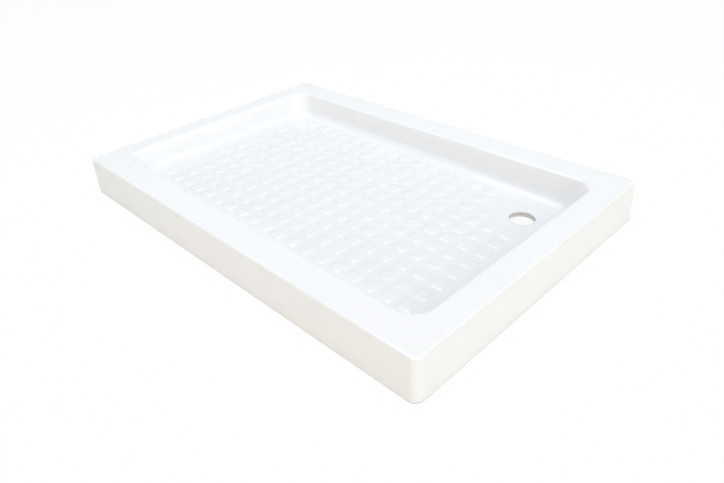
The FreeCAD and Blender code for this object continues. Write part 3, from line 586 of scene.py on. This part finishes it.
NUT_FLATS, NUT_HEIGHT, BORE, BORE_CHAMFER = 17 * MM, 6 * MM, 5.3 * MM, 0.6 * MM
nuts = Surface()
nut_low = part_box("leg_lock_nuts")[0].z
nut_section = ([(BORE + BORE_CHAMFER, 0.0)] + hexagon(NUT_FLATS, 0.0, NUT_HEIGHT)
               + [(BORE + BORE_CHAMFER, NUT_HEIGHT), (BORE, NUT_HEIGHT - BORE_CHAMFER), (BORE, BORE_CHAMFER)])
for spot in RIM_LEGS:
    place = middle("leg_plate_" + spot)
    place[2] = nut_low
    nuts.loop([ring + place for ring in turned(nut_section, HEX_STEPS)])
lock_nuts = nuts.object("lock_nut_set", crease=28)
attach(lock_nuts, "tray")
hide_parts("leg_lock_nuts")
paint(lock_nuts, zinc)

# ---------------------------------------------------------------- screw rods
# M10 rods with a rolled right-hand thread, 1.5 mm from crest to crest, and a chamfered
# hexagon to turn them by.  Each stands in its foot's socket on a plain end.
ROD, ROD_TIP, THREAD_PITCH, THREAD_DEPTH = 5 * MM, 1 * MM, 1.5 * MM, 0.8 * MM
COLLAR_FLATS, COLLAR_HEIGHT, SOCKET_FLOOR, SEAT_GAP = 14 * MM, 4 * MM, 2.5 * MM, 0.3 * MM
ROWS_A_TURN = 6


def threaded(low, high):
    """Radii and heights up a threaded length.

    The radius rises and falls once a pitch, and the wave climbs one pitch a turn.
    """
    heights = np.arange(low, high, THREAD_PITCH / ROWS_A_TURN)
    wave = (heights[:, None] / THREAD_PITCH - hex_turn / (2 * math.pi)) % 1
    depth = THREAD_DEPTH * np.abs(2 * wave - 1)
    ends = np.minimum(heights - low, high - ROD_TIP - heights)[:, None]
    cone = ROD - np.maximum(0, heights - (high - ROD_TIP))[:, None]
    radii = np.minimum(ROD - depth * np.clip(ends / THREAD_PITCH, 0, 1), cone)
    return list(zip(radii, heights)) + [(ROD - ROD_TIP, high)]


for spot in RIM_LEGS + FLOOR_LEGS:
    place = middle("leg_stud_" + spot)
    rod_low, rod_high = (corner.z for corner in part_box("leg_stud_" + spot))
    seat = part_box("leg_pad_" + spot)[1].z + SEAT_GAP
    place[2] = 0.0
    rod_profile = [(ROD - 0.5 * MM, rod_low), (ROD, rod_low + 0.5 * MM), (ROD, seat)]
    rod_profile += hexagon(COLLAR_FLATS, seat, seat + COLLAR_HEIGHT)
    rod_profile += [(ROD, seat + COLLAR_HEIGHT)] + threaded(seat + COLLAR_HEIGHT + 0.1 * MM, rod_high)
    rod = Surface()
    rod.capped([ring + place for ring in turned(rod_profile, HEX_STEPS)])
    screw_rod = rod.object("screw_rod_" + spot, crease=28)
    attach(screw_rod, "stud_" + spot)
    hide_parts("leg_stud_" + spot)
    paint(screw_rod, zinc)

# ---------------------------------------------------------------- feet
# Moulded black nylon feet, 40 mm across.  Twelve ribs stiffen the cone between the rim
# and the socket, and the sole is dished so that it stands on its edge.
nylon, tree, shader = new_material("moulded_black_nylon")
shader.inputs["IOR"].default_value = 1.53
coords = add_node(tree, "TexCoord")
flow = add_node(tree, "TexNoise", {"Vector": (coords, "Object")}, Scale=70.0, Detail=2.0)
spark = add_node(tree, "TexNoise", {"Vector": (coords, "Object")}, Scale=1800.0, Detail=2.0)
tint = add_node(tree, "ValToRGB", {"Fac": (flow, "Fac")}, stops=((0.3, "#191a1c"), (0.7, "#222325")))
tree.links.new(tint.outputs["Color"], shader.inputs["Base Color"])
gloss = add_node(tree, "MapRange", {"Value": (spark, "Fac")}, To_Min=0.38, To_Max=0.56)
tree.links.new(gloss.outputs["Result"], shader.inputs["Roughness"])
relief = add_node(tree, "Bump", {"Height": (spark, "Fac")}, Strength=0.3, Distance=0.08 * MM)
tree.links.new(relief.outputs["Normal"], shader.inputs["Normal"])
FOOT_STEPS, RIB_PERIOD = 96, 8
FOOT_RADIUS, FOOT_RIM, CONE_LOW_RADIUS, CONE_TOP_RADIUS = 20 * MM, 4 * MM, 19 * MM, 10 * MM
SOCKET, WEB_SUNK = 5.3 * MM, 1.2 * MM
rib = np.isin(np.arange(FOOT_STEPS) % RIB_PERIOD, (0, 1, RIB_PERIOD - 1))
for spot in RIM_LEGS + FLOOR_LEGS:
    place = middle("leg_pad_" + spot)
    foot_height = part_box("leg_pad_" + spot)[1].z
    profile = [(3 * MM, 0.6 * MM), (13 * MM, 0.6 * MM), (14 * MM, 0.0), (19.2 * MM, 0.0),
               (19.8 * MM, 0.25 * MM), (FOOT_RADIUS, 0.9 * MM), (FOOT_RADIUS, FOOT_RIM - 0.8 * MM),
               (19.7 * MM, FOOT_RIM - 0.2 * MM), (CONE_LOW_RADIUS, FOOT_RIM)]
    for up in np.linspace(0.04, 0.96, 9):
        # between the ribs the cone lies deeper, less so near its two ends
        sunk = WEB_SUNK * min(1.0, 4 * up, 4 * (1 - up)) * ~rib
        profile.append((CONE_LOW_RADIUS + (CONE_TOP_RADIUS - CONE_LOW_RADIUS) * up - sunk,
                        FOOT_RIM + (foot_height - FOOT_RIM) * up))
    profile += [(CONE_TOP_RADIUS - 0.1 * MM, foot_height - 0.2 * MM), (CONE_TOP_RADIUS - 0.6 * MM, foot_height),
                (SOCKET + 0.5 * MM, foot_height), (SOCKET, foot_height - 0.5 * MM),
                (SOCKET, SOCKET_FLOOR + 0.3 * MM), (SOCKET - 0.3 * MM, SOCKET_FLOOR)]
    body = Surface()
    body.capped([ring + place for ring in turned(profile, FOOT_STEPS)])
    foot = body.object("levelling_foot_" + spot, crease=40)
    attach(foot, "pad_" + spot)
    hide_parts("leg_pad_" + spot)
    paint(foot, nylon)

# ---------------------------------------------------------------- camera
# The photograph's own viewpoint, fitted to the tray's corners: a 30 mm lens on a
# 36 mm wide frame, from the near side of the waste end, rolled a little.
FRAME_WIDTH_PX, FOCAL_PX, SENSOR = 724, 605.6, 36.0
AZIMUTH, ELEVATION, ROLL = math.radians(46.85), math.radians(33.13), math.radians(-3.657)
CAMERA_DISTANCE = 1.4448
CAMERA_TARGET = Vector((0.1716, -0.0989, -0.0004))
back = Vector((math.sin(AZIMUTH) * math.cos(ELEVATION), -math.cos(AZIMUTH) * math.cos(ELEVATION),
               math.sin(ELEVATION)))
right = (-back).cross(Vector((0, 0, 1))).normalized()
above = right.cross(-back)
rolled_right = right * math.cos(ROLL) + above * math.sin(ROLL)
rolled_up = above * math.cos(ROLL) - right * math.sin(ROLL)
camera = bpy.data.objects.new("camera", bpy.data.cameras.new("camera"))
camera.data.sensor_width = SENSOR
camera.data.lens = FOCAL_PX / FRAME_WIDTH_PX * SENSOR
camera.matrix_world = (Matrix.Translation(CAMERA_TARGET + back * CAMERA_DISTANCE)
                       @ Matrix((rolled_right, rolled_up, back)).transposed().to_4x4())
bpy.context.scene.collection.objects.link(camera)
bpy.context.scene.camera = camera

# ---------------------------------------------------------------- floor and light
# A plain pale studio floor, and four soft boxes: a wide cool one overhead, two at the waste
# end, and a weak warm one low on the near side.
SPREAD = 12.0
FLOOR_GLOW, WALL_WHITE, ROOM_LIGHT = 0.95, 0.55, 0.44


def shown_rays(tree):
    """Adds a Light Path node and a sum that is 1 for camera, glossy and transmission rays, else 0."""
    rays = add_node(tree, "LightPath")
    shown = add_node(tree, "Math", {0: (rays, "Is Camera Ray"), 1: (rays, "Is Glossy Ray")}, operation="ADD")
    return rays, add_node(tree, "Math", {0: (shown, "Value"), 1: (rays, "Is Transmission Ray")},
                          operation="ADD", use_clamp=True)


floor_mesh = bpy.data.meshes.new("studio_floor")
floor_mesh.from_pydata([(-SPREAD, -SPREAD, 0), (SPREAD, -SPREAD, 0), (SPREAD, SPREAD, 0), (-SPREAD, SPREAD, 0)],
                       [], [(0, 1, 2, 3)])
studio_floor = bpy.data.objects.new("studio_floor", floor_mesh)
bpy.context.scene.collection.objects.link(studio_floor)
paper, tree, shader = new_material("matt_white_paper")
shader.inputs["Base Color"].default_value = linear("#f8f4ec")
shader.inputs["Roughness"].default_value = 0.9
shader.inputs["Specular IOR Level"].default_value = 0.1
# seen or mirrored, the paper is white with a trace of the shadow on it
rays, shown = shown_rays(tree)
share = add_node(tree, "Math", {0: (shown, "Value")}, operation="MULTIPLY")
share.inputs[1].default_value = FLOOR_GLOW
glow = add_node(tree, "Emission", Color=linear("#ffffff"), Strength=1.0)
mixed = add_node(tree, "MixShader", {0: (share, "Value"), 1: (shader, "BSDF"), 2: (glow, "Emission")})
paper_output = [node for node in tree.nodes if node.type == "OUTPUT_MATERIAL"][0]
tree.links.new(mixed.outputs["Shader"], paper_output.inputs["Surface"])
paint(studio_floor, paper)

# The world lights the object evenly.  The camera sees it white, and a reflection sees walls
# that turn from grey at the horizon to white at 27 degrees above it.
world = bpy.data.worlds.new("studio")
world.use_nodes = True
tree = world.node_tree
tree.nodes.clear()
rays, shown = shown_rays(tree)
room = add_node(tree, "Background", Color=linear("#ffffff"), Strength=ROOM_LIGHT)
coords = add_node(tree, "TexCoord")
axes = add_node(tree, "SeparateXYZ", {"Vector": (coords, "Generated")})
walls = add_node(tree, "MapRange", {"Value": (axes, "Z")}, From_Min=0.05, From_Max=0.45,
                 To_Min=WALL_WHITE, To_Max=1.0)
brightness = add_node(tree, "Math", {0: (walls, "Result"), 1: (rays, "Is Camera Ray")}, operation="MAXIMUM")
white = add_node(tree, "Background", {"Strength": (brightness, "Value")}, Color=linear("#ffffff"))
choose = add_node(tree, "MixShader", {0: (shown, "Value"), 1: (room, "Background"), 2: (white, "Background")})
add_node(tree, "OutputWorld", {"Surface": (choose, "Shader")})
bpy.context.scene.world = world


def soft_box(name, place, target, size, power, colour):
    """An area lamp of a width and height at a place, turned to face a target."""
    lamp = bpy.data.lights.new(name, "AREA")
    lamp.shape = "RECTANGLE"
    lamp.size, lamp.size_y = size
    lamp.energy = power
    lamp.color = linear(colour)[:3]
    thing = bpy.data.objects.new(name, lamp)
    thing.location = place
    thing.rotation_euler = (Vector(target) - Vector(place)).to_track_quat("-Z", "Y").to_euler()
    bpy.context.scene.collection.objects.link(thing)


soft_box("overhead", (-0.3, 0.2, 3.0), (-0.3, 0.2, 0.05), (2.4, 2.4), 52.6, "#f1f7ff")
soft_box("waste_end_high", (6.66, 0.0, 5.13), (0.0, 0.0, 0.05), (4.6, 4.6), 135.0, "#ffffff")
soft_box("waste_end_low", (5.0, -0.7, 1.25), (0.0, 0.0, 0.05), (2.4, 2.4), 35.0, "#fffdf8")
soft_box("near_side_low", (0.8, -2.8, 0.7), (0.1, 0.0, 0.05), (1.4, 1.4), 13.2, "#fff0e0")
bpy.context.scene.view_settings.view_transform = "Standard"
